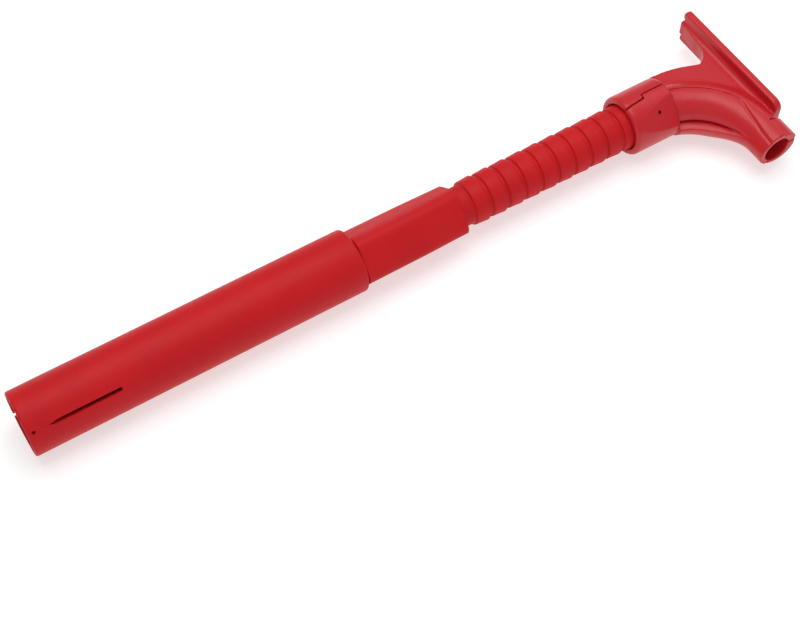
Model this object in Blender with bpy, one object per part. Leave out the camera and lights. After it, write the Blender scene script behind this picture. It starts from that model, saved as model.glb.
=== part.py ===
"""Spark plug boot with a clip-on right-angle lead guide, lying on its side.

The boot is three tubes in line: a stiff outer sleeve with three slots at its mouth, a
flattened neck, and a ribbed collar. A guide in two halves clips round the end ribs,
turns the lead through 90 degrees and carries a T-shaped pull bar.

Units are metres. +X runs along the boot from its mouth to the guide, +Z is up, and the
lead leaves the guide towards -Y.
"""
import math

import bmesh
import bpy
from mathutils import Matrix, Vector

MM = 0.001
GAP = 0.3 * MM                      # clearance between pieces that touch
AXIS_HEIGHT = 11.0 * MM             # boot axis above the surface it lies on

# outer sleeve
SLEEVE_LENGTH = 117.6 * MM
SLEEVE_RADIUS = 11.0 * MM
SLEEVE_BORE = 9.4 * MM              # radius, grips a 16 mm plug hexagon
SLEEVE_EDGE = 0.7 * MM
SLOT_ANGLES = (143, 233, 323)       # degrees about +X, from +Y towards +Z
SLOT_WIDTH = 1.3 * MM
SLOT_LIP_WIDTH = 0.6 * MM           # the slot narrows towards the mouth
SLOT_LIP_LENGTH = 7.0 * MM
SLOT_LENGTH = 31.5 * MM
SLOT_HOLE_RADIUS = 0.65 * MM
SLOT_HOLE_X = 2.1 * MM

# seal inside the sleeve, and the neck behind it
SEAL_START = 46.0 * MM
SEAL_END = 86.0 * MM
SEAL_BORE = 5.3 * MM                # radius, grips the plug's porcelain
NECK_CORE_RADIUS = SLEEVE_BORE - GAP
NECK_END = 156.5 * MM
NECK_HALF_DEPTH = 9.6 * MM          # across the two flattened faces
NECK_HALF_WIDTH = 8.45 * MM
NECK_END_HALF_DEPTH = 8.2 * MM
NECK_END_HALF_WIDTH = 8.2 * MM
NECK_FACE_ANGLE = math.radians(140)
NECK_SQUARENESS = 3.6               # 2 is an ellipse, higher is boxier
NECK_TAPER_START = 139.0 * MM
LEAD_BORE = 4.5 * MM                # radius, for an 8.5 mm ignition lead

# ribbed collar
COLLAR_END = 241.0 * MM
RIB_COUNT = 12
RIB_FIRST = 161.2 * MM
RIB_PITCH = 6.74 * MM
RIB_WIDTH = 5.0 * MM
RIB_RADIUS = 8.05 * MM
GROOVE_RADIUS = 7.2 * MM
SHOULDER = 0.8 * MM

# lead guide: socket over the end ribs, bend, outlet
SOCKET_START = 224.8 * MM
SOCKET_END = 243.3 * MM
SOCKET_RADIUS = 10.8 * MM
SOCKET_BORE = RIB_RADIUS + GAP
SOCKET_FLOOR = COLLAR_END + 0.5 * MM
SOCKET_EDGE = 1.4 * MM
RIDGE_RADIUS = GROOVE_RADIUS + GAP + 0.1 * MM   # inner ridge that sits in a groove
RIDGE_WIDTH = 0.9 * MM
FACET_ANGLE = math.radians(142)     # the cover's socket is cut flat on this side
FACET_START = 226.6 * MM
FACET_DEPTH = 1.9 * MM              # at the socket's end
TUBE_RADIUS = 7.6 * MM
TUBE_BORE = 5.3 * MM
OUTLET_HALF_WIDTH = 7.3 * MM        # the tube narrows and flattens towards the outlet
OUTLET_HALF_HEIGHT = 6.5 * MM
OUTLET_SHIFT = -0.6 * MM            # and leans to the inside of the bend
OUTLET_BORE = 4.8 * MM
OUTLET_BORE_SHIFT = -1.2 * MM
BEND_RADIUS = 30.0 * MM
BEND_X = 236.0 * MM                 # the bend's centre stands at (BEND_X, -BEND_RADIUS)
BEND_FIRST_TURN = math.radians(21)  # first tilted section past the socket
BEND_STEPS = 9
NARROWING_START = math.radians(45)  # where along the bend the tube starts to narrow
OUTLET_Y = -36.4 * MM
TAB_Y = -28.0 * MM                  # the cover's square tab starts here
TAB_BORE = OUTLET_BORE + 0.2 * MM

# where the two halves part, as angles about the lead's line, 0 = outer side, 90 = top
LOWER_SEAM = math.radians(235)
SEAM_AT_MOUTH = math.radians(97)
SEAM_BEFORE_STEP = math.radians(92)
SEAM_AFTER_STEP = math.radians(82)
SEAM_STEP_X = 233.2 * MM
SEAM_ON_TUBE = math.radians(77)
TAB_FOOT = math.radians(16)         # the tab reaches down the outer side to here
SADDLE_ARC_END = math.radians(72)   # both halves keep fixed points up to their seam
COVER_ARC_START = math.radians(100)
ARC_STEPS = 13
SEAM_CLEAR = GAP / 2 / TUBE_BORE    # angle that opens half the gap between the halves
SKIRT_DEPTH = 2.7 * MM              # how far the cover's lower skirt stands out
SKIRT_AT_OUTLET = 0.15              # share of that depth left at the outlet
SKIRT_TOP = math.radians(188)

# pull bar
BAR_FACE_X = 275.3 * MM
BAR_THICKNESS = 3.0 * MM
BAR_HALF_HEIGHT = 7.0 * MM
BAR_FAR_Y = 27.0 * MM
BAR_NEAR_Y = -25.0 * MM
BAR_CORNER = 3.0 * MM
WEB_HALF_THICKNESS = 2.7 * MM
WEB_ROOT = 1.8 * MM                 # fillet between web and bar

# the cover's small vent hole
VENT_X = 236.0 * MM
VENT_ANGLE = math.radians(133)
VENT_RADIUS = 0.75 * MM

MOUTH_X = -BAR_FACE_X / 2                       # origin is under the middle of the box
AXIS_Y = -(BAR_FAR_Y + OUTLET_Y) / 2
ROUND_STEPS = 48


def clear_scene():
    for item in list(bpy.data.objects):
        bpy.data.objects.remove(item, do_unlink=True)


def make_material(name, color, roughness):
    material = bpy.data.materials.new(name)
    material.use_nodes = True
    shader = material.node_tree.nodes["Principled BSDF"]
    shader.inputs["Base Color"].default_value = (*color, 1.0)
    shader.inputs["Roughness"].default_value = roughness
    shader.inputs["Metallic"].default_value = 0.0
    return material


def finish(name, builder, material, parent):
    """Turn a bmesh into a named object under the boot's axis empty."""
    bmesh.ops.remove_doubles(builder, verts=builder.verts, dist=1e-7)
    bmesh.ops.recalc_face_normals(builder, faces=builder.faces)
    mesh = bpy.data.meshes.new(name)
    builder.to_mesh(mesh)
    builder.free()
    mesh.shade_smooth()
    mesh.set_sharp_from_angle(angle=math.radians(35))
    item = bpy.data.objects.new(name, mesh)
    bpy.context.collection.objects.link(item)
    if material:
        mesh.materials.append(material)
    item.parent = parent
    return item


def add_shape(name, builder, target, parent, operation="DIFFERENCE"):
    """Cut a hidden shape from the target, or join it on with UNION."""
    shape = finish(name, builder, None, parent)
    shape.hide_render = True
    shape.display_type = "WIRE"
    boolean = target.modifiers.new(name, "BOOLEAN")
    boolean.operation = operation
    boolean.object = shape
    boolean.solver = "EXACT"


def turned(outline, steps=ROUND_STEPS):
    """Spin a closed outline of (x, radius) points about the X axis."""
    builder = bmesh.new()
    points = [builder.verts.new((x, 0.0, radius)) for x, radius in outline]
    edges = [builder.edges.new((point, points[i - 1])) for i, point in enumerate(points)]
    bmesh.ops.spin(
        builder, geom=points + edges, cent=(0, 0, 0), axis=(1, 0, 0),
        angle=2 * math.pi, steps=steps, use_merge=True)
    return builder


def swept(sections):
    """Extrude a face through sections that all have the same number of points."""
    builder = bmesh.new()
    ring = [builder.verts.new(point) for point in sections[0]]
    face = builder.faces.new(ring)
    for number, section in enumerate(sections[1:]):
        order = {tuple(vert.co): i for i, vert in enumerate(ring)}
        extruded = bmesh.ops.extrude_face_region(builder, geom=[face])["geom"]
        if number > 0:
            bmesh.ops.delete(builder, geom=[face], context="FACES_ONLY")
        face = next(part for part in extruded if isinstance(part, bmesh.types.BMFace))
        fresh = [part for part in extruded if isinstance(part, bmesh.types.BMVert)]
        ring = sorted(fresh, key=lambda vert: order[tuple(vert.co)])
        for vert, point in zip(ring, section):
            vert.co = point
    return builder


def cylinder(radius, depth, matrix, segments=32):
    builder = bmesh.new()
    bmesh.ops.create_cone(
        builder, cap_ends=True, segments=segments, radius1=radius, radius2=radius,
        depth=depth, matrix=matrix)
    return builder


def along_x(x):
    return Matrix.Translation((x, 0, 0)) @ Matrix.Rotation(math.pi / 2, 4, "Y")


def sleeve_outline():
    edge = SLEEVE_EDGE
    return [
        (edge, SLEEVE_BORE), (0.0, SLEEVE_BORE + edge / 2), (0.0, SLEEVE_RADIUS - edge),
        (edge, SLEEVE_RADIUS), (SLEEVE_LENGTH - 1.6 * edge, SLEEVE_RADIUS),
        (SLEEVE_LENGTH - 0.5 * edge, SLEEVE_RADIUS - 0.4 * edge),
        (SLEEVE_LENGTH, SLEEVE_RADIUS - 1.4 * edge), (SLEEVE_LENGTH, SLEEVE_BORE + 2 * GAP),
        (SLEEVE_LENGTH - edge, SLEEVE_BORE)]


def slot_cutter(angle):
    """Flat outline of one slot, pushed through the sleeve's wall."""
    lip = SLOT_LIP_WIDTH / 2
    half = SLOT_WIDTH / 2
    outline = [
        (-1 * MM, -lip), (SLOT_LIP_LENGTH, -lip), (SLOT_LIP_LENGTH * 1.4, -half),
        (SLOT_LENGTH - half, -half), (SLOT_LENGTH, 0.0), (SLOT_LENGTH - half, half),
        (SLOT_LIP_LENGTH * 1.4, half), (SLOT_LIP_LENGTH, lip), (-1 * MM, lip)]
    turn = Matrix.Rotation(angle - math.pi / 2, 4, "X")
    heights = (SLEEVE_BORE - 1.5 * MM, SLEEVE_RADIUS + 1 * MM)
    sections = [[turn @ Vector((x, y, z)) for x, y in outline] for z in heights]
    return swept(sections)


def make_sleeve(material, parent):
    sleeve = finish("outer_sleeve", turned(sleeve_outline(), 64), material, parent)
    for number, degrees in enumerate(SLOT_ANGLES):
        angle = math.radians(degrees)
        add_shape(f"slot_cutter_{number}", slot_cutter(angle), sleeve, parent)
        turn = Matrix.Rotation(angle - math.pi / 2, 4, "X")
        hole = cylinder(
            SLOT_HOLE_RADIUS, 4 * MM,
            turn @ Matrix.Translation((SLOT_HOLE_X, 0, SLEEVE_RADIUS)), 12)
        add_shape(f"slot_hole_cutter_{number}", hole, sleeve, parent)
    return sleeve


def make_seal(material, parent):
    edge = 1.5 * MM
    outline = [
        (SEAL_START + edge, SEAL_BORE), (SEAL_START, SEAL_BORE + edge),
        (SEAL_START, NECK_CORE_RADIUS - edge), (SEAL_START + edge, NECK_CORE_RADIUS),
        (SEAL_END, NECK_CORE_RADIUS), (SEAL_END, SEAL_BORE)]
    return finish("nose_seal", turned(outline, 40), material, parent)


def neck_section(x, half_depth, half_width, squareness):
    """Rounded oblong about the axis; its flat faces look along NECK_FACE_ANGLE."""
    points = []
    for step in range(ROUND_STEPS):
        angle = 2 * math.pi * step / ROUND_STEPS
        across, along = math.cos(angle), math.sin(angle)
        depth = math.copysign(abs(across) ** (2 / squareness), across) * half_depth
        width = math.copysign(abs(along) ** (2 / squareness), along) * half_width
        turn = Matrix.Rotation(NECK_FACE_ANGLE, 2)
        y, z = turn @ Vector((depth, width))
        points.append(Vector((x, y, z)))
    return points


def make_neck(material, parent):
    """Round core inside the sleeve, then the flattened neck with its S-shaped taper."""
    core = NECK_CORE_RADIUS
    sections = [neck_section(SEAL_END + GAP, core, core, 2)]
    sections.append(neck_section(SLEEVE_LENGTH - 0.2 * MM, core, core, 2))
    start = SLEEVE_LENGTH + GAP
    steps = 9
    for step in range(steps + 1):
        part = step / steps
        x = start + part * (NECK_END - start)
        blend = min(max((x - NECK_TAPER_START) / (NECK_END - NECK_TAPER_START), 0), 1)
        ease = blend * blend * (3 - 2 * blend)
        depth = NECK_HALF_DEPTH - 0.5 * MM * part
        depth += (NECK_END_HALF_DEPTH - depth) * ease
        width = NECK_HALF_WIDTH + (NECK_END_HALF_WIDTH - NECK_HALF_WIDTH) * part
        sections.append(neck_section(x, depth, width, NECK_SQUARENESS))
    neck = finish("neck_body", swept(sections), material, parent)
    middle = (SEAL_END + NECK_END) / 2
    bore = cylinder(LEAD_BORE, NECK_END - SEAL_END + 4 * MM, along_x(middle))
    add_shape("neck_bore_cutter", bore, neck, parent)
    return neck


def collar_outline():
    """Twelve broad ribs with narrow grooves between them, and a rounded last end."""
    start = NECK_END + GAP
    outline = [(COLLAR_END, LEAD_BORE + 0.6 * MM), (COLLAR_END - 0.6 * MM, LEAD_BORE)]
    outline += [(start, LEAD_BORE), (start, GROOVE_RADIUS)]
    for number in range(RIB_COUNT):
        left = RIB_FIRST + number * RIB_PITCH
        right = min(left + RIB_WIDTH, COLLAR_END)
        outline += [
            (left - 0.5 * MM, GROOVE_RADIUS), (left, RIB_RADIUS - 0.35 * MM),
            (left + SHOULDER, RIB_RADIUS - 0.05 * MM), (right - SHOULDER, RIB_RADIUS)]
        if number < RIB_COUNT - 1:
            outline += [(right, RIB_RADIUS - 0.3 * MM), (right + 0.3 * MM, GROOVE_RADIUS)]
        else:
            outline.append((right, RIB_RADIUS - 0.9 * MM))
    return outline


def make_collar(material, parent):
    return finish("ribbed_collar", turned(collar_outline(), 36), material, parent)


def band(station, angles, skirt):
    """C-shaped wall section through the given angles, at one station of the guide."""
    up = Vector((0, 0, 1))
    outside = []
    inside = []
    for angle in angles:
        across, height = math.cos(angle), math.sin(angle)
        proud = station["skirt"] * SKIRT_DEPTH if skirt and angle > SKIRT_TOP else 0
        wide, tall = station["outer"] + proud, station["height"] + proud
        outside.append(
            station["outer_centre"] + station["side"] * across * wide + up * height * tall)
        way = station["side"] * across + up * height
        inside.append(station["inner_centre"] + way * station["inner"])
    return outside + inside[::-1]


def guide_stations(side_sign):
    """Sections of one half, from the socket's mouth to the outlet.

    side_sign is -1 for the saddle and +1 for the cover, to part them at the seam's step.
    """
    straight = Vector((0, 1, 0))
    edge = SOCKET_EDGE
    step_x = SEAM_STEP_X + side_sign * GAP / 2
    groove = RIB_FIRST + 10 * RIB_PITCH - (RIB_PITCH - RIB_WIDTH) / 2 - 0.1 * MM
    tip = RIDGE_WIDTH / 2
    foot = tip + 0.3 * MM
    lean = math.asin((SOCKET_END - BEND_X) / BEND_RADIUS)
    drop = Vector((0, BEND_RADIUS * (math.cos(lean) - 1), 0))
    stations = []

    def add(outer_centre, inner_centre, side, inner, outer, height, seam, skirt=0.0):
        stations.append({
            "outer_centre": outer_centre, "inner_centre": inner_centre, "side": side,
            "inner": inner, "outer": outer, "height": height, "seam": seam, "skirt": skirt})

    def socket(x, inner, outer, seam):
        place = Vector((x, 0, 0))
        add(place, place, straight, inner, outer, outer, seam)

    def tube(place, side, part):
        """Round at part 0, narrow and flattened at part 1."""
        def mix(start, end):
            return start + (end - start) * part
        add(
            place + side * mix(0, OUTLET_SHIFT), place + side * mix(0, OUTLET_BORE_SHIFT), side,
            mix(TUBE_BORE, OUTLET_BORE), mix(TUBE_RADIUS, OUTLET_HALF_WIDTH),
            mix(TUBE_RADIUS, OUTLET_HALF_HEIGHT), SEAM_ON_TUBE, mix(1, SKIRT_AT_OUTLET))

    socket(SOCKET_START, SOCKET_BORE + 0.5 * MM, SOCKET_RADIUS - edge, SEAM_AT_MOUTH)
    socket(SOCKET_START + 0.4 * edge, SOCKET_BORE, SOCKET_RADIUS - 0.4 * edge, SEAM_AT_MOUTH)
    socket(SOCKET_START + edge, SOCKET_BORE, SOCKET_RADIUS, SEAM_AT_MOUTH)
    ridge = (
        (groove - foot, SOCKET_BORE), (groove - tip, RIDGE_RADIUS),
        (groove + tip, RIDGE_RADIUS), (groove + foot, SOCKET_BORE))
    for x, inner in ridge:
        part = (x - SOCKET_START) / (SEAM_STEP_X - SOCKET_START)
        seam = SEAM_AT_MOUTH + (SEAM_BEFORE_STEP - SEAM_AT_MOUTH) * part
        socket(x, inner, SOCKET_RADIUS, seam)
    socket(step_x, SOCKET_BORE, SOCKET_RADIUS, SEAM_BEFORE_STEP)
    socket(step_x, SOCKET_BORE, SOCKET_RADIUS, SEAM_AFTER_STEP)
    socket(SOCKET_FLOOR, SOCKET_BORE, SOCKET_RADIUS, SEAM_AFTER_STEP)
    socket(SOCKET_FLOOR, TUBE_BORE, SOCKET_RADIUS, SEAM_AFTER_STEP)
    end = Vector((SOCKET_END, 0, 0))
    add(end, end + drop, straight, TUBE_BORE, SOCKET_RADIUS, SOCKET_RADIUS, SEAM_AFTER_STEP)
    add(
        end + drop, end + drop, straight, TUBE_BORE, TUBE_RADIUS, TUBE_RADIUS, SEAM_AFTER_STEP,
        1.0)
    centre = Vector((BEND_X, -BEND_RADIUS, 0))
    for step in range(BEND_STEPS + 1):
        turn = BEND_FIRST_TURN + (math.pi / 2 - BEND_FIRST_TURN) * step / BEND_STEPS
        side = Vector((math.sin(turn), math.cos(turn), 0))
        blend = max(turn - NARROWING_START, 0) / (math.pi / 2 - NARROWING_START)
        tube(centre + side * BEND_RADIUS, side, blend * blend * (3 - 2 * blend))
    tube(Vector((BEND_X + BEND_RADIUS, OUTLET_Y, 0)), Vector((1, 0, 0)), 1.0)
    return stations


def make_cover(material, parent):
    """Half on the inside of the bend; its skirt stands out below the tube."""
    sections = []
    for station in guide_stations(1):
        span = LOWER_SEAM - SEAM_CLEAR - COVER_ARC_START
        angles = [station["seam"] + SEAM_CLEAR]
        angles += [COVER_ARC_START + span * step / ARC_STEPS for step in range(ARC_STEPS + 1)]
        sections.append(band(station, angles, True))
    cover = finish("guide_cover", swept(sections), material, parent)
    add_shape("tab_shape", tab_prism(), cover, parent, "UNION")
    tilt = Matrix.Rotation(VENT_ANGLE - math.pi / 2, 4, "X")
    vent = cylinder(
        VENT_RADIUS, 6 * MM, tilt @ Matrix.Translation((VENT_X, 0, SOCKET_RADIUS)), 12)
    add_shape("vent_cutter", vent, cover, parent)
    add_shape("facet_cutter", facet_cutter(), cover, parent)
    return cover


def facet_cutter():
    """Wedge that takes a slanting flat off the socket, deeper towards the bend."""
    turn = Matrix.Rotation(FACET_ANGLE - math.pi / 2, 4, "X")
    slope = FACET_DEPTH / (SOCKET_END - FACET_START)
    back = SOCKET_END + 0.1 * MM
    outline = [
        (FACET_START - 4 * MM, SOCKET_RADIUS + 4 * MM * slope),
        (back, SOCKET_RADIUS - (back - FACET_START) * slope),
        (back, SOCKET_RADIUS + 3 * MM), (FACET_START - 4 * MM, SOCKET_RADIUS + 3 * MM)]
    widths = (-9 * MM, 9 * MM)
    return swept([[turn @ Vector((x, y, z)) for x, z in outline] for y in widths])


def outlet_prism(outline, start, end):
    """Push a flat (across, height) outline about the outlet's line along Y."""
    middle = BEND_X + BEND_RADIUS + OUTLET_BORE_SHIFT
    return swept([[Vector((middle + u, y, z)) for u, z in outline] for y in (start, end)])


def tab_prism():
    """The cover's square tab: a flat-sided plate over the outlet's outer side."""
    outline = [
        (7.7 * MM, 1.7 * MM), (7.75 * MM, 2.8 * MM), (6.3 * MM, 4.7 * MM), (4.0 * MM, 5.8 * MM),
        (-0.4 * MM, 6.6 * MM)]
    steps = 8
    for step in range(steps + 1):
        angle = math.radians(95) + (TAB_FOOT - math.radians(95)) * step / steps
        outline.append((TAB_BORE * math.cos(angle), TAB_BORE * math.sin(angle)))
    return outlet_prism(outline, TAB_Y, OUTLET_Y)


def web_outline():
    """Plan of the web between socket, bend and pull bar, inside their walls."""
    centre = Vector((BEND_X, -BEND_RADIUS))
    reach = BEND_RADIUS + (TUBE_BORE + TUBE_RADIUS) / 2 - 0.2 * MM
    inside = (SOCKET_RADIUS + SOCKET_BORE) / 2
    inner_x = BAR_FACE_X - BAR_THICKNESS
    outline = [(SOCKET_END - 5 * MM, inside), (SOCKET_END - 0.8 * MM, inside)]
    steps = 12
    for step in range(steps + 1):
        turn = math.radians(12 + (80 - 12) * step / steps)
        outline.append(
            (centre.x + reach * math.sin(turn), centre.y + reach * math.cos(turn)))
    middle = inner_x + BAR_THICKNESS / 2
    outline += [(middle, outline[-1][1]), (middle, BAR_FAR_Y - 1 * MM)]
    # the free edge: along the bar, round the notch, then back to the socket
    outline += [
        (inner_x - 0.2 * MM, BAR_FAR_Y - 1 * MM), (inner_x - 1.7 * MM, 18 * MM),
        (inner_x - 2.5 * MM, 12.4 * MM), (inner_x - 4.4 * MM, 9.2 * MM),
        (inner_x - 7.6 * MM, 7.3 * MM), (inner_x - 12 * MM, 8.8 * MM),
        (inner_x - 18 * MM, 10.4 * MM), (inner_x - 26 * MM, 11.3 * MM),
        (SOCKET_END - 1 * MM, 10.9 * MM), (SOCKET_END - 5 * MM, 10.2 * MM)]
    return outline


def bar_section(y, half_height, root):
    """T-shaped section of the pull bar, with filleted roots where the web meets it."""
    face, inner, web, edge = BAR_FACE_X, BAR_FACE_X - BAR_THICKNESS, WEB_HALF_THICKNESS, 0.7 * MM
    upper = [
        (face, half_height - edge), (face - edge, half_height), (inner + edge, half_height),
        (inner, half_height - edge), (inner, web + root), (inner - 0.3 * root, web + 0.3 * root),
        (inner - root, web)]
    lower = [(x, -z) for x, z in reversed(upper)]
    return [Vector((x, y, z)) for x, z in upper + lower]


def make_saddle(material, parent):
    """Half on the outside of the bend, in one piece with the web and the pull bar."""
    sections = []
    for station in guide_stations(-1):
        low = LOWER_SEAM - 2 * math.pi + SEAM_CLEAR
        span = SADDLE_ARC_END - low
        angles = [low + span * step / ARC_STEPS for step in range(ARC_STEPS + 1)]
        angles.append(station["seam"] - SEAM_CLEAR)
        sections.append(band(station, angles, False))
    saddle = finish("guide_saddle", swept(sections), material, parent)
    room = [(0, 3 * MM), (4 * MM, 0.7 * MM), (10 * MM, 1.8 * MM), (10 * MM, 10 * MM), (0, 10 * MM)]
    cut = outlet_prism(room, TAB_Y + GAP, OUTLET_Y - 2 * MM)
    add_shape("tab_room", cut, saddle, parent)
    flat = web_outline()
    heights = (-WEB_HALF_THICKNESS, WEB_HALF_THICKNESS)
    web = swept([[Vector((x, y, z)) for x, y in flat] for z in heights])
    add_shape("web_shape", web, saddle, parent, "UNION")
    full, corner = BAR_HALF_HEIGHT, BAR_CORNER
    ends = [
        (BAR_FAR_Y, full - 1.0 * MM, 0.6 * MM), (BAR_FAR_Y - 0.3 * MM, full - 0.3 * MM, 0.6 * MM),
        (BAR_FAR_Y - 1.0 * MM, full, 0.6 * MM), (13 * MM, full, WEB_ROOT),
        (BAR_NEAR_Y + corner, full, WEB_ROOT),
        (BAR_NEAR_Y + 0.4 * corner, full - 0.2 * corner, WEB_ROOT),
        (BAR_NEAR_Y + 0.1 * corner, full - 0.6 * corner, 0.6 * MM),
        (BAR_NEAR_Y, full - corner, 0.4 * MM)]
    add_shape("bar_shape", swept([bar_section(*end) for end in ends]), saddle, parent, "UNION")
    return saddle


def main():
    clear_scene()
    axis = bpy.data.objects.new("boot_axis", None)
    axis.location = (MOUTH_X, AXIS_Y, AXIS_HEIGHT)
    bpy.context.collection.objects.link(axis)
    sleeve_red = make_material("sleeve_red", (0.56, 0.022, 0.028), 0.45)
    silicone_red = make_material("silicone_red", (0.58, 0.026, 0.032), 0.55)
    seal_red = make_material("seal_red", (0.50, 0.020, 0.026), 0.60)
    guide_red = make_material("guide_red", (0.58, 0.020, 0.030), 0.35)
    make_sleeve(sleeve_red, axis)
    make_seal(seal_red, axis)
    make_neck(silicone_red, axis)
    make_collar(silicone_red, axis)
    make_saddle(guide_red, axis)
    make_cover(guide_red, axis)


main()
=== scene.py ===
import math

import bmesh
import bpy
from mathutils import Matrix, Vector


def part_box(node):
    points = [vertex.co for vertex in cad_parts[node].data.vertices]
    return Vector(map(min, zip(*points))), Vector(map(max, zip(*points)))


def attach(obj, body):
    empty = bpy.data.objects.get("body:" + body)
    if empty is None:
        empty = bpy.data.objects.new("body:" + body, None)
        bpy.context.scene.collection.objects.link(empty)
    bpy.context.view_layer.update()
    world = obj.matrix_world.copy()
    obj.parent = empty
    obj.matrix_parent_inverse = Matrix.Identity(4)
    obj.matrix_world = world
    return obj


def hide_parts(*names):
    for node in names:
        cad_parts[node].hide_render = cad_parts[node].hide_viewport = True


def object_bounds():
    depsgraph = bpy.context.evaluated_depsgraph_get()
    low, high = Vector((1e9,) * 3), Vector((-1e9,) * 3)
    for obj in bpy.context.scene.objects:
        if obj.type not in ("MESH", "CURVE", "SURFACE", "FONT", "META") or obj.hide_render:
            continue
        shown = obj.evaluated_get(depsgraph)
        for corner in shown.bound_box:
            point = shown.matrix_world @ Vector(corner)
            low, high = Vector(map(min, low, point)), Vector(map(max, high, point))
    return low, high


# Spark plug boot with its clip-on lead guide, modelled in millimetres about the boot's own line
# (mouth at x = 0, bar at x = 275, lead leaving towards -y) and placed on the CAD at the end.

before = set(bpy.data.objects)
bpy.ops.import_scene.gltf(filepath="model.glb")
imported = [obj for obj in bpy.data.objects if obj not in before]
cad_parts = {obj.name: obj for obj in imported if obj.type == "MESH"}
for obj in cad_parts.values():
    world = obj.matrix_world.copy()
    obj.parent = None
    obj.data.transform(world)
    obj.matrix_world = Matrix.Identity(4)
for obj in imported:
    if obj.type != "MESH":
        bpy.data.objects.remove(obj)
cadLow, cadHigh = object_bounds()
sleeveLow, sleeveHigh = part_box("outer_sleeve")
axisMiddle = (sleeveLow + sleeveHigh) / 2
toFrame = Matrix.Translation((sleeveLow.x, axisMiddle.y, axisMiddle.z)) @ Matrix.Scale(0.001, 4)
print("frame loaded,", len(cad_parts), "CAD nodes")


def hexColour(text):
    parts = [int(text[i:i + 2], 16) / 255 for i in (1, 3, 5)]
    return [p / 12.92 if p <= 0.04045 else ((p + 0.055) / 1.055) ** 2.4 for p in parts] + [1.0]


def addNode(tree, kind, settings=None, inputs=None):
    node = tree.nodes.new(kind)
    for name, value in (settings or {}).items():
        setattr(node, name, value)
    for name, value in (inputs or {}).items():
        if isinstance(value, bpy.types.NodeSocket):
            tree.links.new(value, node.inputs[name])
        else:
            node.inputs[name].default_value = value
    return node


def mouldedRed(name, look):
    material = bpy.data.materials.new(name)
    material.use_nodes = True
    tree = material.node_tree
    shader = tree.nodes["Principled BSDF"]
    shader.inputs["IOR"].default_value = look["ior"]
    shader.inputs["Metallic"].default_value = 0.0
    shader.inputs["Specular IOR Level"].default_value = look["shine"]
    place = addNode(tree, "ShaderNodeTexCoord").outputs["Object"]

    # broad, faint clouding of the pigment
    cloud = addNode(tree, "ShaderNodeTexNoise", inputs={
        "Vector": place, "Scale": 1000 / look["cloudMm"], "Detail": 3.0, "Roughness": 0.55})
    shade = addNode(tree, "ShaderNodeMix", {"data_type": "RGBA"}, {
        0: cloud.outputs["Fac"], 6: hexColour(look["dark"]), 7: hexColour(look["light"])})
    tree.links.new(shade.outputs[2], shader.inputs["Base Color"])

    # rub marks change the gloss a little
    rub = addNode(tree, "ShaderNodeTexNoise", inputs={
        "Vector": place, "Scale": 1000 / look["rubMm"], "Detail": 5.0, "Roughness": 0.6})
    gloss = addNode(tree, "ShaderNodeMapRange", inputs={
        "Value": rub.outputs["Fac"], "From Min": 0.3, "From Max": 0.7,
        "To Min": look["roughness"] - look["roughnessRange"],
        "To Max": look["roughness"] + look["roughnessRange"]})
    tree.links.new(gloss.outputs["Result"], shader.inputs["Roughness"])

    # spark-eroded mould texture, and a slight unevenness where the part shrank in the mould
    grain = addNode(tree, "ShaderNodeTexNoise", inputs={
        "Vector": place, "Scale": 1000 / look["grainMm"], "Detail": 2.0, "Roughness": 0.5})
    fine = addNode(tree, "ShaderNodeBump", inputs={
        "Height": grain.outputs["Fac"], "Distance": look["grainDepthMm"] / 1000, "Strength": 1.0})
    sink = addNode(tree, "ShaderNodeTexNoise", inputs={
        "Vector": place, "Scale": 1000 / look["sinkMm"], "Detail": 1.0})
    broad = addNode(tree, "ShaderNodeBump", inputs={
        "Height": sink.outputs["Fac"], "Distance": look["sinkDepthMm"] / 1000, "Strength": 1.0,
        "Normal": fine.outputs["Normal"]})
    tree.links.new(broad.outputs["Normal"], shader.inputs["Normal"])
    return material


# liquid silicone rubber, press moulded: matt, even and a little waxy
siliconeRubber = mouldedRed("siliconeRubber", {
    "light": "#D01E24", "dark": "#C0191F", "ior": 1.41, "shine": 0.18,
    "roughness": 0.52, "roughnessRange": 0.05,
    "cloudMm": 14.0, "rubMm": 3.0, "grainMm": 0.35, "grainDepthMm": 0.018,
    "sinkMm": 9.0, "sinkDepthMm": 0.05})
# harder silicone of the plug sleeve: smoother skin, soft wide highlight
sleeveSilicone = mouldedRed("sleeveSilicone", {
    "light": "#CE1E24", "dark": "#BE191F", "ior": 1.41, "shine": 0.18,
    "roughness": 0.46, "roughnessRange": 0.05,
    "cloudMm": 20.0, "rubMm": 4.0, "grainMm": 0.4, "grainDepthMm": 0.014,
    "sinkMm": 14.0, "sinkDepthMm": 0.05})
# the seal deep in the sleeve: the same silicone, its colour darkened as painted shade for lying
# deep inside the sleeve
sealSiliconePaintedShade = mouldedRed("sealSiliconePaintedShade", {
    "light": "#B0262A", "dark": "#9A2024", "ior": 1.41, "shine": 0.18,
    "roughness": 0.6, "roughnessRange": 0.04,
    "cloudMm": 10.0, "rubMm": 3.0, "grainMm": 0.4, "grainDepthMm": 0.01,
    "sinkMm": 9.0, "sinkDepthMm": 0.03})
# injection moulded nylon 6: glossier, pinkish soft highlights
mouldedNylon = mouldedRed("mouldedNylon", {
    "light": "#CE1E28", "dark": "#BE1922", "ior": 1.53, "shine": 0.36,
    "roughness": 0.34, "roughnessRange": 0.06,
    "cloudMm": 12.0, "rubMm": 2.2, "grainMm": 0.3, "grainDepthMm": 0.010,
    "sinkMm": 6.0, "sinkDepthMm": 0.05})
print("materials made")


def newObject(name, builder):
    mesh = bpy.data.meshes.new(name)
    builder.to_mesh(mesh)
    builder.free()
    item = bpy.data.objects.new(name, mesh)
    bpy.context.collection.objects.link(item)
    return item


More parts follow.
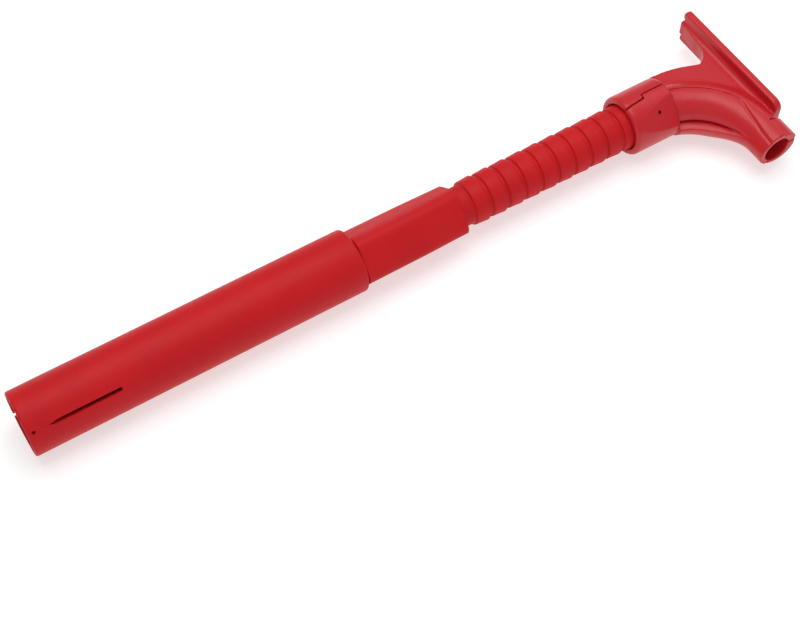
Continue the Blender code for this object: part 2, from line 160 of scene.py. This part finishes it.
def applyModifiers(item):
    bpy.context.view_layer.update()
    shaped = item.evaluated_get(bpy.context.evaluated_depsgraph_get())
    mesh = bpy.data.meshes.new_from_object(shaped)
    item.modifiers.clear()
    old = item.data
    item.data = mesh
    bpy.data.meshes.remove(old)


def combine(item, other, operation):
    boolean = item.modifiers.new(operation, "BOOLEAN")
    boolean.operation = operation
    boolean.object = other
    boolean.solver = "EXACT"
    applyModifiers(item)
    bpy.data.objects.remove(other, do_unlink=True)


def roundEdges(item, width, segments, angle):
    bevel = item.modifiers.new("roundEdges", "BEVEL")
    bevel.width = width
    bevel.segments = segments
    bevel.limit_method = "ANGLE"
    bevel.angle_limit = math.radians(angle)
    bevel.use_clamp_overlap = True
    applyModifiers(item)


def dropSpecks(builder, fewest=100):  # loose specks that a remesh leaves beside thin edges
    unseen = set(builder.verts)
    while unseen:
        island = [unseen.pop()]
        for vertex in island:
            for edge in vertex.link_edges:
                other = edge.other_vert(vertex)
                if other in unseen:
                    unseen.remove(other)
                    island.append(other)
        if len(island) < fewest:
            bmesh.ops.delete(builder, geom=island, context="VERTS")


def melt(item, voxel, rounds):  # joins what overlaps, with soft moulded fillets
    remesh = item.modifiers.new("remesh", "REMESH")
    remesh.mode = "VOXEL"
    remesh.voxel_size = voxel
    applyModifiers(item)
    builder = bmesh.new()
    builder.from_mesh(item.data)
    dropSpecks(builder)
    for turn in range(rounds):
        bmesh.ops.smooth_vert(
            builder, verts=builder.verts, factor=0.5,
            use_axis_x=True, use_axis_y=True, use_axis_z=True)
    builder.to_mesh(item.data)
    builder.free()


def finishPiece(item, material, body, node, sharpAngle=40):
    builder = bmesh.new()
    builder.from_mesh(item.data)
    bmesh.ops.remove_doubles(builder, verts=builder.verts, dist=1e-4)
    bmesh.ops.recalc_face_normals(builder, faces=builder.faces)
    bmesh.ops.transform(builder, matrix=toFrame, verts=builder.verts)
    builder.to_mesh(item.data)
    builder.free()
    item.data.shade_smooth()
    if sharpAngle:
        item.data.set_sharp_from_angle(angle=math.radians(sharpAngle))
    item.data.materials.clear()
    item.data.materials.append(material)
    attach(item, body)
    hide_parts(node)
    print(item.name, "done,", len(item.data.polygons), "faces")


def spunTube(outline, steps):  # closed outline of (x, radius), turned about the boot's line
    builder = bmesh.new()
    points = [builder.verts.new((x, 0, radius)) for x, radius in outline]
    edges = [builder.edges.new((point, points[i - 1])) for i, point in enumerate(points)]
    bmesh.ops.spin(
        builder, geom=points + edges, cent=(0, 0, 0), axis=(1, 0, 0), angle=2 * math.pi,
        steps=steps, use_merge=True)
    bmesh.ops.recalc_face_normals(builder, faces=builder.faces)
    return builder


def ringEdges(builder, x, radius):
    def onRing(vert):
        return abs(vert.co.x - x) < 1e-3 and abs(vert.co.yz.length - radius) < 1e-3
    return [edge for edge in builder.edges if all(onRing(vert) for vert in edge.verts)]


def bevelRing(builder, x, radius, width, segments):
    bmesh.ops.bevel(
        builder, geom=ringEdges(builder, x, radius), offset=width, offset_type="OFFSET",
        segments=segments, profile=0.5, affect="EDGES", material=-1)


def extrudeFlat(outline, direction):  # flat closed outline pushed along a direction
    builder = bmesh.new()
    face = builder.faces.new([builder.verts.new(point) for point in outline])
    moved = bmesh.ops.extrude_face_region(builder, geom=[face])["geom"]
    verts = [part for part in moved if isinstance(part, bmesh.types.BMVert)]
    bmesh.ops.translate(builder, vec=direction, verts=verts)
    bmesh.ops.recalc_face_normals(builder, faces=builder.faces)
    return builder


def sweep(sections):  # extrudes one face through sections with the same number of points
    builder = bmesh.new()
    ring = [builder.verts.new(point) for point in sections[0]]
    face = builder.faces.new(ring)
    for number, section in enumerate(sections[1:]):
        order = {vert.co.to_tuple(6): i for i, vert in enumerate(ring)}
        extruded = bmesh.ops.extrude_face_region(builder, geom=[face])["geom"]
        if number > 0:
            bmesh.ops.delete(builder, geom=[face], context="FACES_ONLY")
        face = next(part for part in extruded if isinstance(part, bmesh.types.BMFace))
        fresh = [part for part in extruded if isinstance(part, bmesh.types.BMVert)]
        ring = sorted(fresh, key=lambda vert: order[vert.co.to_tuple(6)])
        for vert, point in zip(ring, section):
            vert.co = point
    bmesh.ops.recalc_face_normals(builder, faces=builder.faces)
    return builder


def sweepRing(builder, sections):  # extrudes an open ring; gives its first and last edges
    ring = [builder.verts.new(point) for point in sections[0]]
    edges = [builder.edges.new((vert, ring[i - 1])) for i, vert in enumerate(ring)]
    first = list(edges)
    for section in sections[1:]:
        order = {vert.co.to_tuple(6): i for i, vert in enumerate(ring)}
        extruded = bmesh.ops.extrude_edge_only(builder, edges=edges)["geom"]
        edges = [part for part in extruded if isinstance(part, bmesh.types.BMEdge)]
        fresh = [part for part in extruded if isinstance(part, bmesh.types.BMVert)]
        ring = sorted(fresh, key=lambda vert: order[vert.co.to_tuple(6)])
        for vert, point in zip(ring, section):
            vert.co = point
    return first, edges


def ease(value):
    value = min(max(value, 0.0), 1.0)
    return value * value * (3 - 2 * value)


# thick tube over the plug, with slots at its mouth so that it can spread
sleeve = {
    "length": 117.6, "radius": 11.0, "bore": 9.4, "frontEdge": 0.75, "backEdge": 1.1,
    "slotLength": 31.5, "slotWidth": 1.35, "slotStart": 7.0, "slotAngles": (143, 233, 323),
    "pinchedAngle": 143, "pinchDepth": 0.2, "holeRadius": 0.62, "holeX": 2.1, "steps": 128,
    "rings": (1, 5, 12, 20, 28, 33, 45, 60, 75, 90, 105)}


def slotOutline(start, halfWidth):  # round at its end; tapers where its lips touch
    end = sleeve["slotLength"]
    tip = [(end - halfWidth + halfWidth * math.sin(a), halfWidth * math.cos(a))
           for a in [math.pi * i / 8 for i in range(9)]]
    if start < 0:
        return [(start, halfWidth)] + tip + [(start, -halfWidth)]
    taper = [(start, 0.02), (start + 1.2, 0.45 * halfWidth), (start + 2.6, 0.85 * halfWidth),
             (start + 4.5, halfWidth)]
    return taper + tip + [(x, -y) for x, y in taper[::-1]]


def makeSleeve():
    s = sleeve
    outline = [(0, s["bore"]), (0, s["radius"])]
    outline += [(x, s["radius"]) for x in s["rings"]]
    outline += [(s["length"], s["radius"]), (s["length"], s["bore"])]
    outline += [(x, s["bore"]) for x in s["rings"][::-1]]
    builder = spunTube(outline, s["steps"])
    bevelRing(builder, 0, s["radius"], s["frontEdge"], 4)
    bevelRing(builder, 0, s["bore"], 0.4, 3)
    bevelRing(builder, s["length"], s["radius"], s["backEdge"], 5)
    bevelRing(builder, s["length"], s["bore"], 0.3, 2)
    item = newObject("plugSleeve", builder)
    for angle in s["slotAngles"]:
        turn = Matrix.Rotation(math.radians(angle - 90), 4, "X")
        pinched = angle == s["pinchedAngle"]
        start = s["slotStart"] if pinched else -1
        flat = [turn @ Vector((x, y, 7.5)) for x, y in slotOutline(start, s["slotWidth"] / 2)]
        combine(item, newObject("slot", extrudeFlat(flat, turn @ Vector((0, 0, 5)))), "DIFFERENCE")
        if pinched:  # here the lips touch: a shallow crease, and a pin hole near the rim
            crease = [turn @ Vector((-1, y, z)) for y, z in (
                (-0.5, s["radius"] + 0.1), (0, s["radius"] - s["pinchDepth"]),
                (0.5, s["radius"] + 0.1))]
            groove = extrudeFlat(crease, Vector((s["slotStart"] + 3, 0, 0)))
            combine(item, newObject("crease", groove), "DIFFERENCE")
            pin = bmesh.new()
            bmesh.ops.create_cone(
                pin, cap_ends=True, segments=20, radius1=s["holeRadius"],
                radius2=s["holeRadius"], depth=3,
                matrix=turn @ Matrix.Translation((s["holeX"], 0, s["radius"])))
            combine(item, newObject("pinHole", pin), "DIFFERENCE")
    roundEdges(item, 0.14, 2, 50)
    finishPiece(item, sleeveSilicone, "boot", "outer_sleeve")


makeSleeve()


# thick ring deep in the sleeve
seal = {
    "start": 46.0, "end": 86.0, "radius": 9.1, "bore": 5.3, "mouth": 6.8, "steps": 72,
    "beads": (54.0, 62.0, 70.0), "beadHeight": 0.25}


def makeSeal():
    s, wall = seal, seal["bore"] + 0.3
    bead = wall - s["beadHeight"]
    outline = [(s["start"], s["mouth"]), (s["start"], s["radius"]),
               (s["end"], s["radius"]), (s["end"], wall)]
    for x in s["beads"][::-1]:  # soft beads that grip the porcelain
        outline += [(x + 1.2, wall), (x + 0.5, bead), (x - 0.5, bead), (x - 1.2, wall)]
    outline += [(s["start"] + 4, wall)]
    builder = spunTube(outline, s["steps"])
    bevelRing(builder, s["start"], s["radius"], 0.8, 3)
    bevelRing(builder, s["start"], s["mouth"], 0.5, 3)
    item = newObject("noseSeal", builder)
    finishPiece(item, sealSiliconePaintedShade, "boot", "nose_seal")


makeSeal()


# flattened neck with a round core that starts inside the sleeve
neck = {
    "coreStart": 86.3, "coreRadius": 9.1, "start": 117.9, "end": 156.5, "bore": 4.5,
    "halfDepth": 9.5, "halfWidth": 8.35, "endHalfDepth": 8.2, "endHalfWidth": 8.2,
    "faceAngle": 140, "squareness": 4.2, "taperStart": 139.0, "steps": 112, "stations": 34,
    "endEdge": 0.22}


def oblong(x, halfDepth, halfWidth, squareness):  # squareness 2 is round, more is boxier
    points = []
    turn = Matrix.Rotation(math.radians(neck["faceAngle"]), 2)
    for step in range(neck["steps"]):
        angle = 2 * math.pi * step / neck["steps"]
        across, along = math.cos(angle), math.sin(angle)
        depth = math.copysign(abs(across) ** (2 / squareness), across) * halfDepth
        width = math.copysign(abs(along) ** (2 / squareness), along) * halfWidth
        y, z = turn @ Vector((depth, width))
        points.append(Vector((x, y, z)))
    return points


def makeNeck():
    n = neck
    sections = [oblong(n["coreStart"] + 0.4, n["coreRadius"] - 0.4, n["coreRadius"] - 0.4, 2),
                oblong(n["coreStart"] + 0.9, n["coreRadius"], n["coreRadius"], 2),
                oblong(n["start"] - 0.5, n["coreRadius"], n["coreRadius"], 2)]
    for step in range(n["stations"] + 1):
        part = step / n["stations"]
        x = n["start"] + part * (n["end"] - n["start"])
        blend = ease((x - n["taperStart"]) / (n["end"] - n["taperStart"]))
        depth = n["halfDepth"] - 0.5 * part
        depth += (n["endHalfDepth"] - depth) * blend
        width = n["halfWidth"] + (n["endHalfWidth"] - n["halfWidth"]) * part
        sections.append(oblong(x, depth, width, n["squareness"]))
    edge = n["endEdge"]
    sections.insert(-1, oblong(n["end"] - edge, depth, width, n["squareness"]))
    sections[-1] = oblong(n["end"], depth - edge, width - edge, n["squareness"])
    builder = bmesh.new()
    outerFirst, outerLast = sweepRing(builder, sections)
    bores = [oblong(x, n["bore"], n["bore"], 2) for x in (n["coreStart"] + 0.4, 110, 130, n["end"])]
    innerFirst, innerLast = sweepRing(builder, bores)
    bmesh.ops.bridge_loops(builder, edges=outerFirst + innerFirst)
    bmesh.ops.bridge_loops(builder, edges=outerLast + innerLast)
    finishPiece(newObject("neckBody", builder), siliconeRubber, "boot", "neck_body")


makeNeck()


# ribs that rise towards the lead end and drop sharply there; "rib" is one, as (x, height)
collar = {
    "start": 156.8, "end": 241.0, "bore": 4.5, "ribs": 12, "first": 161.2, "pitch": 6.74,
    "radius": 8.05, "groove": 7.05, "steps": 112,
    "rib": ((-0.3, 0), (-0.12, 0.2), (-0.04, 0.55), (0.1, 0.73), (0.4, 0.81), (2.4, 0.91),
            (4.3, 1.05), (4.75, 1.08), (4.93, 1.01), (5.03, 0.85), (5.1, 0.25), (5.3, 0)),
    "lastRibPoints": 6}  # the last rib runs on into the plain end


def makeCollar():
    c = collar
    outline = [(c["end"], c["bore"]), (c["start"], c["bore"]), (c["start"], c["groove"])]
    for number in range(c["ribs"]):
        left = c["first"] + number * c["pitch"]
        rib = c["rib"][:c["lastRibPoints"]] if number == c["ribs"] - 1 else c["rib"]
        outline += [(left + x, c["groove"] + height) for x, height in rib]
    outline += [(c["end"] - 0.7, c["radius"]), (c["end"] - 0.2, c["radius"] - 0.25),
                (c["end"], c["radius"] - 0.8)]
    builder = spunTube(outline, c["steps"])
    item = newObject("ribbedCollar", builder)
    finishPiece(item, siliconeRubber, "boot", "ribbed_collar", 60)


makeCollar()


# what the two guide halves share: a socket over the ribs, then a tube bent through 90 degrees
guide = {
    "socketStart": 224.8, "socketEnd": 243.3, "socketRadius": 10.8, "socketBore": 8.35,
    "socketFloor": 241.5, "mouthEdge": 1.4, "backEdge": 1.3, "tubeRadius": 7.6, "tubeBore": 5.3,
    "bendX": 236.0, "bendRadius": 30.0, "outletY": -36.4, "outletHalfWidth": 7.3,
    "outletHalfHeight": 6.5, "outletShift": -0.6, "outletBore": 4.8, "outletBoreShift": -1.2,
    "narrowingStart": 45, "lowerSeam": 235, "seamMouth": 97, "seamBeforeStep": 92,
    "seamAfterStep": 82, "seamTube": 78, "stepX": 233.2, "gap": 0.15, "ridgeX": 227.67,
    "ridgeHeight": 0.75, "bendSteps": 40, "arcSteps": 112, "voxel": 0.24}


def guideStations(sign):  # sign -1 is the saddle, +1 the cover; they part at the seam's step
    g = guide
    stations = []
    straight = Vector((0, 1, 0))

    def add(outerCentre, innerCentre, side, bore, wide, tall, seam, turn):
        stations.append({
            "outerCentre": outerCentre, "innerCentre": innerCentre, "side": side, "bore": bore,
            "wide": wide, "tall": tall, "seam": seam, "turn": turn})

    def socket(x, bore, radius, seam):
        add(Vector((x, 0, 0)), Vector((x, 0, 0)), straight, bore, radius, radius, seam, None)

    mouth, edge, full = g["socketStart"], g["mouthEdge"], g["socketRadius"]
    for i in range(7):  # rounded rim
        angle = math.pi / 2 * i / 6
        x = mouth + edge * (1 - math.cos(angle))
        bore = g["socketBore"] + 0.5 * max(0, 1 - (x - mouth) / 0.6)
        socket(x + 0.001 * i, bore, full - edge * (1 - math.sin(angle)), g["seamMouth"])
    ridge, height = g["ridgeX"], g["ridgeHeight"]  # the ridge that sits between two ribs
    for x, inwards in ((ridge - 0.75, 0), (ridge - 0.45, height), (ridge + 0.45, height),
                       (ridge + 0.75, 0), (230.5, 0)):
        seam = g["seamMouth"] + (g["seamBeforeStep"] - g["seamMouth"]) * (
            (x - mouth) / (g["stepX"] - mouth))
        socket(x, g["socketBore"] - inwards, full, seam)
    stepX = g["stepX"] + sign * g["gap"]
    socket(stepX - 0.005, g["socketBore"], full, g["seamBeforeStep"])
    socket(stepX + 0.005, g["socketBore"], full, g["seamAfterStep"])
    for x in (236, 239, g["socketFloor"] - 0.01):
        socket(x, g["socketBore"], full, g["seamAfterStep"])
    lean = math.asin((g["socketEnd"] - g["bendX"]) / g["bendRadius"])
    drop = Vector((0, g["bendRadius"] * (math.cos(lean) - 1), 0))
    back = g["backEdge"]
    for i in range(6):  # rounded back edge of the socket
        angle = math.pi / 2 * i / 5
        x = g["socketEnd"] - back + back * math.sin(angle)
        part = (x - (g["socketEnd"] - back)) / back
        place = Vector((max(x, g["socketFloor"]), 0, 0))
        radius = full - back * (1 - math.cos(angle))
        add(place, place + drop * part, straight, g["tubeBore"], radius, radius,
            g["seamAfterStep"], None)
    place = Vector((g["socketEnd"] + 0.01, 0, 0)) + drop  # small fillet where the tube starts
    for offset, flare, turn in (((0, 0, 0), 0.3, 14), ((0.35, -0.06, 0), 0, 15)):
        centre, radius = place + Vector(offset), g["tubeRadius"] + flare
        add(centre, centre, straight, g["tubeBore"], radius, radius, g["seamAfterStep"], turn)
    centre = Vector((g["bendX"], -g["bendRadius"], 0))
    for step in range(g["bendSteps"] + 1):
        turn = math.radians(20 + 70 * step / g["bendSteps"])
        side = Vector((math.sin(turn), math.cos(turn), 0))
        blend = ease((math.degrees(turn) - g["narrowingStart"]) / (90 - g["narrowingStart"]))
        place = centre + side * g["bendRadius"]
        tube(add, place, side, blend, math.degrees(turn))
    outlet = Vector((g["bendX"] + g["bendRadius"], 0, 0))
    for y in (-32, -34, -35.6, -36.1, g["outletY"]):
        inset = 0.25 if y == g["outletY"] else 0.0
        turn = 90 - (y + g["bendRadius"])  # past the bend, a millimetre counts as a degree
        tube(add, outlet + Vector((0, y, 0)), Vector((1, 0, 0)), 1.0, turn, inset)
    return stations


def tube(add, place, side, blend, turn, inset=0.0):  # blend runs from round tube to outlet
    g = guide

    def mix(start, end):
        return start + (end - start) * blend
    add(place + side * mix(0, g["outletShift"]), place + side * mix(0, g["outletBoreShift"]), side,
        mix(g["tubeBore"], g["outletBore"]), mix(g["tubeRadius"], g["outletHalfWidth"]) - inset,
        mix(g["tubeRadius"], g["outletHalfHeight"]) - inset, g["seamTube"], turn)


def guideSection(station, angles, relief):  # one closed section, out along the skin and back
    outer, inner = [], []
    up = Vector((0, 0, 1))
    for angle in angles:
        across, height = math.cos(math.radians(angle)), math.sin(math.radians(angle))
        proud = relief(angle, station["turn"]) if station["turn"] else 0
        outer.append(
            station["outerCentre"] + station["side"] * across * (station["wide"] + proud)
            + up * height * (station["tall"] + proud))
        inner.append(
            station["innerCentre"] + (station["side"] * across + up * height) * station["bore"])
    return outer + inner[::-1]


def outletPrism(outline, start, end):
    middle = guide["bendX"] + guide["bendRadius"]
    flat = [Vector((middle + u, start, z)) for u, z in outline]
    return extrudeFlat(flat, Vector((0, end - start, 0)))


# half on the inside of the bend, with a raised skirt beside a groove that runs along the tube;
# grooveAngles and ridgeAngles say how far round the tube those lie, as (turn, angle)
cover = {
    "skirt": 2.75, "skirtAtOutlet": 0.3, "grooveDepth": 1.5, "grooveHalfWidth": 4.8,
    "grooveAngles": ((14, 186), (32, 181), (45, 180), (61, 178), (74, 172), (86, 163), (97, 156)),
    "ridgeAngles": ((62, 78), (66, 84), (73, 98), (80, 106), (87, 112), (97, 119)),
    "ridgeHeight": 0.5, "ventX": 236.0, "ventAngle": 131, "ventRadius": 0.72,
    "facetAngle": 142, "facetStart": 226.6, "facetDepth": 2.0, "tabStart": -28.0,
    "tab": ((6.5, 1.7), (6.6, 2.4), (6.15, 3.6), (5.15, 4.6), (3.95, 5.35), (2.8, 5.8),
            (0.5, 6.3), (-1.6, 6.5))}


def along(table, value):  # reads a table of (value, result) pairs by straight lines
    for (x0, y0), (x1, y1) in zip(table, table[1:]):
        if value <= x1:
            return y0 + (y1 - y0) * max(0, (value - x0) / (x1 - x0))
    return table[-1][1]


def coverRelief(angle, turn):
    c = cover
    groove = along(c["grooveAngles"], turn)
    fade = 1 - ease((turn - 45) / 45)
    skirt = c["skirtAtOutlet"] + (c["skirt"] - c["skirtAtOutlet"]) * fade
    proud = skirt * ease((angle - groove - 2.5) / 4)
    depth = c["grooveDepth"] * (1 - ease((turn - 50) / 38))
    proud -= depth * min(1, 2.2 * max(0, 1 - abs(angle - groove) / c["grooveHalfWidth"]))
    if turn > 62:  # raised plate of the tab, with a rounded ridge along its edge
        ridge = along(c["ridgeAngles"], turn)
        proud += c["ridgeHeight"] * (1 - ease((angle - ridge) / 5))
        proud -= 0.35 * max(0, 1 - abs(angle - ridge - 8) / 4)
    return proud


def makeCover():
    g, c = guide, cover
    sections = []
    for station in guideStations(1):
        clear = math.degrees(g["gap"] / station["bore"])
        low, high = station["seam"] + clear, g["lowerSeam"] - clear
        angles = [low + (high - low) * i / g["arcSteps"] for i in range(g["arcSteps"] + 1)]
        sections.append(guideSection(station, angles, coverRelief))
    item = newObject("guideCover", sweep(sections))
    tab = list(c["tab"])
    inner = g["outletBore"] + 0.2
    for i in range(17):
        angle = math.radians(95 + (16 - 95) * i / 16)
        tab.append((g["outletBoreShift"] + inner * math.cos(angle), inner * math.sin(angle)))
    tabPrism = outletPrism(tab, c["tabStart"], g["outletY"] + 0.05)
    combine(item, newObject("tab", tabPrism), "UNION")
    combine(item, newObject("facet", facetWedge()), "DIFFERENCE")
    melt(item, g["voxel"], 3)
    pin = bmesh.new()
    tilt = Matrix.Rotation(math.radians(c["ventAngle"] - 90), 4, "X")
    bmesh.ops.create_cone(
        pin, cap_ends=True, segments=24, radius1=c["ventRadius"], radius2=c["ventRadius"],
        depth=6, matrix=tilt @ Matrix.Translation((c["ventX"], 0, g["socketRadius"])))
    combine(item, newObject("vent", pin), "DIFFERENCE")
    finishPiece(item, mouldedNylon, "cover", "guide_cover", 32)


def facetWedge():  # takes a slanting flat off the socket, deeper towards the bend
    c, end, full = cover, guide["socketEnd"], guide["socketRadius"]
    turn = Matrix.Rotation(math.radians(c["facetAngle"] - 90), 4, "X")
    slope = c["facetDepth"] / (end - c["facetStart"])
    front, back = c["facetStart"] - 4, end + 0.1
    outline = [(front, full + 4 * slope), (back, full - (back - c["facetStart"]) * slope),
               (back, full + 3), (front, full + 3)]
    return extrudeFlat([turn @ Vector((x, -9, z)) for x, z in outline], turn @ Vector((0, 18, 0)))


makeCover()


# half on the outside of the bend, with its web and pull bar; webEdge is the web's free edge, as
# (how far from the bar's inner face, y), and dentRadius is for the two dents in the bar's far end
saddle = {
    "barFace": 275.3, "barThickness": 3.0, "barHalfHeight": 7.0, "barFar": 27.0, "barNear": -25.0,
    "barCorner": 3.2, "webHalf": 2.7, "rootFillet": 1.9, "tubeFillet": 4.5, "lowSeam": -125,
    "webEdge": ((1.4, 21), (1.8, 17), (2.1, 14.3), (2.7, 11.8), (3.9, 9.8), (5.2, 8.5), (6.5, 7.6),
                (7.8, 7.3), (9.6, 7.9), (12, 8.8), (15, 9.8), (18, 10.5), (22, 11.1), (26, 11.3)),
    "dentRadius": 0.9, "dentHeight": 3.7, "tabRoomStart": -27.7}


def barSection(y, halfHeight, shrink=0.0, root=None):  # across the bar, with web root fillets
    s = saddle
    face, inner, web = s["barFace"] - shrink, s["barFace"] - s["barThickness"], s["webHalf"]
    root = root or max(0.2, min(s["rootFillet"], halfHeight - web - 1.0))
    top = [(face, halfHeight - 1.2), (face - 0.15, halfHeight - 0.5), (face - 0.6, halfHeight),
           (inner + 0.6, halfHeight), (inner + 0.15, halfHeight - 0.25), (inner, halfHeight - 0.8),
           (inner, web + root)]
    for i in range(1, 6):
        angle = math.pi / 2 * i / 5
        top.append((inner - root + root * math.cos(angle), web + root - root * math.sin(angle)))
    top[-1] = (inner - root, web)
    return [Vector((x, y, z)) for x, z in top + [(x, -z) for x, z in reversed(top)]]


def webOutline():
    g, s = guide, saddle
    inner = s["barFace"] - s["barThickness"]
    inside = (g["socketRadius"] + g["socketBore"]) / 2
    reach = g["bendRadius"] + (g["tubeBore"] + g["tubeRadius"]) / 2 - 0.2
    outline = [(g["socketEnd"] - 5, inside), (g["socketEnd"] - 0.8, inside)]
    for i in range(25):
        turn = math.radians(12 + 68 * i / 24)
        outline.append((g["bendX"] + reach * math.sin(turn),
                        reach * math.cos(turn) - g["bendRadius"]))
    middle = inner + s["barThickness"] / 2
    outline += [(middle, outline[-1][1]), (middle, s["barFar"] - 0.4)]
    # free edge: down the bar, round the notch, back to the socket
    outline += [(inner - 0.1, s["barFar"] - 0.5), (inner - 0.7, s["barFar"] - 2.5)]
    outline += [(inner - back, y) for back, y in s["webEdge"]]
    outline += [(g["socketEnd"] - 1, 10.9), (g["socketEnd"] - 5, 10.2)]
    return outline


def tubeFillet():  # thickens the corner where the web leaves the tube, along the bend
    g, s = guide, saddle
    size, tubeSize, web = s["tubeFillet"], g["tubeRadius"], s["webHalf"]
    out = math.sqrt((tubeSize + size) ** 2 - (web + size) ** 2)
    first = math.atan2(out, web + size)
    sections = []
    for step in range(31):
        turn = 9.5 + (76 - 9.5) * step / 30
        blend = ease((turn - g["narrowingStart"]) / (90 - g["narrowingStart"]))
        side = Vector((math.sin(math.radians(turn)), math.cos(math.radians(turn)), 0))
        centre = Vector((g["bendX"], -g["bendRadius"], 0)) + side * g["bendRadius"]
        upper = []
        for i in range(9):
            angle, part = first * (1 - i / 8), blend * (1 - i / 8)
            u, z = out - size * math.sin(angle), web + size - size * math.cos(angle)
            u += part * (g["outletShift"] + (g["outletHalfWidth"] / tubeSize - 1) * u)
            z *= 1 + part * (g["outletHalfHeight"] / tubeSize - 1)
            upper.append((u, z))
        both = upper + [(u, -z) for u, z in reversed(upper)]
        sections.append([centre + side * u + Vector((0, 0, z)) for u, z in both])
    return sweep(sections)


def makeSaddle():
    g, s = guide, saddle
    sections = []
    for station in guideStations(-1):
        clear = math.degrees(g["gap"] / station["bore"])
        low, high = s["lowSeam"] + clear, station["seam"] - clear
        angles = [low + (high - low) * i / g["arcSteps"] for i in range(g["arcSteps"] + 1)]
        sections.append(guideSection(station, angles, lambda angle, turn: 0.0))
    item = newObject("guideSaddle", sweep(sections))
    shift = g["outletBoreShift"]
    room = [(shift, 3), (shift + 4, 0.7), (9, 1.8), (9, 10), (shift, 10)]
    roomPrism = outletPrism(room, s["tabRoomStart"], g["outletY"] - 2)
    combine(item, newObject("tabRoom", roomPrism), "DIFFERENCE")
    web = extrudeFlat([Vector((x, y, -s["webHalf"])) for x, y in webOutline()],
                      Vector((0, 0, 2 * s["webHalf"])))
    combine(item, newObject("web", web), "UNION")
    full, far, near, corner = s["barHalfHeight"], s["barFar"], s["barNear"], s["barCorner"]
    ends = [(far, full - 0.9, 0.4, 0.6), (far - 0.2, full - 0.4, 0.1, 0.8),
            (far - 0.5, full - 0.1, 0, 1.0), (far - 1.0, full, 0, 1.0), (24.5, full, 0, 1.0),
            (21, full, 0, 1.4), (17, full), (13, full), (near + corner, full)]
    for i in range(1, 8):
        angle = math.pi / 2 * i / 7
        ends.append((near + corner * (1 - math.sin(angle)), full - corner * (1 - math.cos(angle)),
                     0.5 if i == 7 else 0))
    bar = newObject("bar", sweep([barSection(*end) for end in ends]))
    for height in (-s["dentHeight"], s["dentHeight"]):  # between the web's end and the two lips
        dent = bmesh.new()
        bmesh.ops.create_cone(
            dent, cap_ends=True, segments=32, radius1=s["dentRadius"],
            radius2=s["dentRadius"], depth=12,
            matrix=Matrix.Translation((s["barFace"] - 2, far + 0.2, height))
            @ Matrix.Rotation(math.pi / 2, 4, "Y"))
        combine(bar, newObject("dent", dent), "DIFFERENCE")
    combine(item, newObject("fillet", tubeFillet()), "UNION")
    combine(item, bar, "UNION")
    melt(item, g["voxel"] * 1.2, 3)
    finishPiece(item, mouldedNylon, "guide", "guide_saddle", 0)


makeSaddle()


studio = {
    "floor": "#C8C8C8", "floorGlow": 0.55, "floorSize": 4.0, "worldStrength": 0.42,
    "lights": (("keyLight", (0.05, 0.15, 0.85), 0.7, 4.6),  # name, place, size, power
               ("fillLight", (-0.3, -0.7, 0.6), 0.9, 0.5),
               ("rimLight", (0.7, 0.2, 0.6), 0.6, 0.5)),
    "camera": (-17.33, -248.98, 399.85), "forward": (0.2849, 0.4641, -0.8387), "lens": 67.5}


def makeFloor():
    builder = bmesh.new()
    bmesh.ops.create_grid(builder, x_segments=1, y_segments=1, size=studio["floorSize"] / 2)
    floor = newObject("studioFloor", builder)
    floor.location.z = cadLow.z - 0.0002
    paper = bpy.data.materials.new("studioPaper")  # matt background paper: bright and even
    paper.use_nodes = True
    shader = paper.node_tree.nodes["Principled BSDF"]
    shader.inputs["Base Color"].default_value = hexColour(studio["floor"])
    shader.inputs["Roughness"].default_value = 0.9
    shader.inputs["Specular IOR Level"].default_value = 0.1
    shader.inputs["Emission Color"].default_value = (1.0, 1.0, 1.0, 1.0)  # lit from below, as on
    shader.inputs["Emission Strength"].default_value = studio["floorGlow"]  # a light table
    floor.data.materials.append(paper)


def addLight(name, place, size, power):
    lamp = bpy.data.lights.new(name, "AREA")
    lamp.shape = "SQUARE"
    lamp.size = size
    lamp.energy = power
    item = bpy.data.objects.new(name, lamp)
    bpy.context.collection.objects.link(item)
    item.location = place
    item.rotation_euler = (-Vector(place)).to_track_quat("-Z", "Y").to_euler()


def makeStudio():
    for light in studio["lights"]:
        addLight(*light)
    world = bpy.data.worlds.new("softRoom")
    world.use_nodes = True
    background = world.node_tree.nodes["Background"]
    background.inputs["Color"].default_value = (1.0, 1.0, 1.0, 1.0)
    background.inputs["Strength"].default_value = studio["worldStrength"]
    bpy.context.scene.world = world
    camera = bpy.data.objects.new("camera", bpy.data.cameras.new("camera"))
    bpy.context.collection.objects.link(camera)
    camera.data.sensor_width = 36.0
    camera.data.lens = studio["lens"]
    camera.data.clip_start = 0.01
    camera.location = toFrame @ Vector(studio["camera"])
    camera.rotation_euler = Vector(studio["forward"]).to_track_quat("-Z", "Y").to_euler()
    bpy.context.scene.camera = camera
    bpy.context.scene.view_settings.view_transform = "Standard"


makeFloor()
makeStudio()

print("scene ready")
